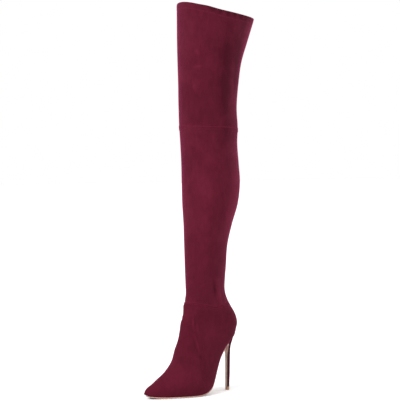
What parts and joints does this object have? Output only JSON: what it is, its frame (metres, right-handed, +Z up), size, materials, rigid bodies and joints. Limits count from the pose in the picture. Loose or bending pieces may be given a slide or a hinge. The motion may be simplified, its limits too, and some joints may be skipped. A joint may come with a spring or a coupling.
{
  "type": "thigh high boot",
  "caption": "Thigh-high pull-on boot in stretch faux suede, with a pointed toe, an ankle seam, a raised seam at the knee, a hemmed collar and a slim stiletto heel.",
  "frame": {"origin": "centre of the heel tip's face on the floor", "axes": "+X towards the toe, +Y towards the outer side of the foot, +Z up the leg"},
  "size_m": [0.2446, 0.15, 0.7755],
  "materials": {
    "foot_suede": "brushed nap, dark burgundy",
    "shaft_suede": "brushed nap, burgundy",
    "heel_cover": "brushed nap, dark burgundy",
    "sole": "smooth, pale beige",
    "lift": "matte brown",
    "sock": "matte beige sock lining"
  },
  "bodies": {
    "root": {"foot_upper": "foot_suede", "lower_shaft": "shaft_suede", "thigh_shaft": "shaft_suede", "outsole": "sole", "heel": "heel_cover", "top_lift": "lift", "insole": "sock"}
  },
  "joints": []
}
